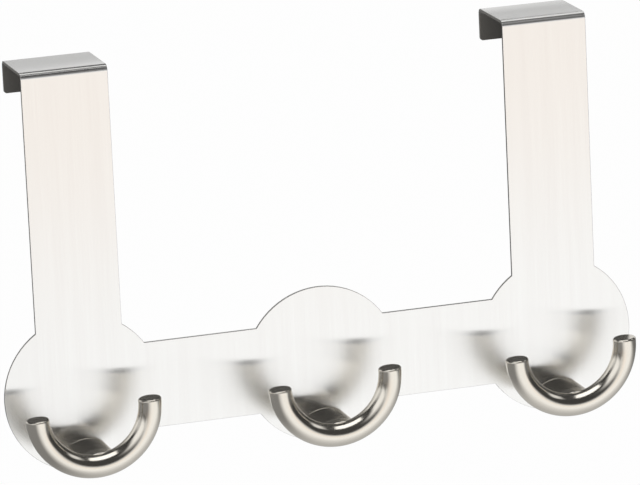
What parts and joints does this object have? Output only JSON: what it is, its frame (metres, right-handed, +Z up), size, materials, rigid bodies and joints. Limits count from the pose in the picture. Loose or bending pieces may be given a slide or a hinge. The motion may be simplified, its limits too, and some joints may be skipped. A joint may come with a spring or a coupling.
{
  "type": "over door hook",
  "caption": "Brushed sheet steel rack folded to hang over the top edge of a door, with round discs in its cross band that carry U-shaped double hooks of round bar.",
  "frame": {"origin": "on the back face of the sheet at the centre of the middle disc, where the rack lies against the door", "axes": "+X along the row of hooks to the right as seen from the room, +Y from the room into the door, +Z up"},
  "size_m": [0.343, 0.0738, 0.2135],
  "materials": {
    "brushed_sheet": "brushed",
    "satin_bar": "satin",
    "screw_steel": "satin"
  },
  "bodies": {
    "root": {"rack_plate": "brushed_sheet", "hook_left": "satin_bar", "hook_middle": "satin_bar", "hook_right": "satin_bar", "hook_screws": "screw_steel"}
  },
  "joints": []
}
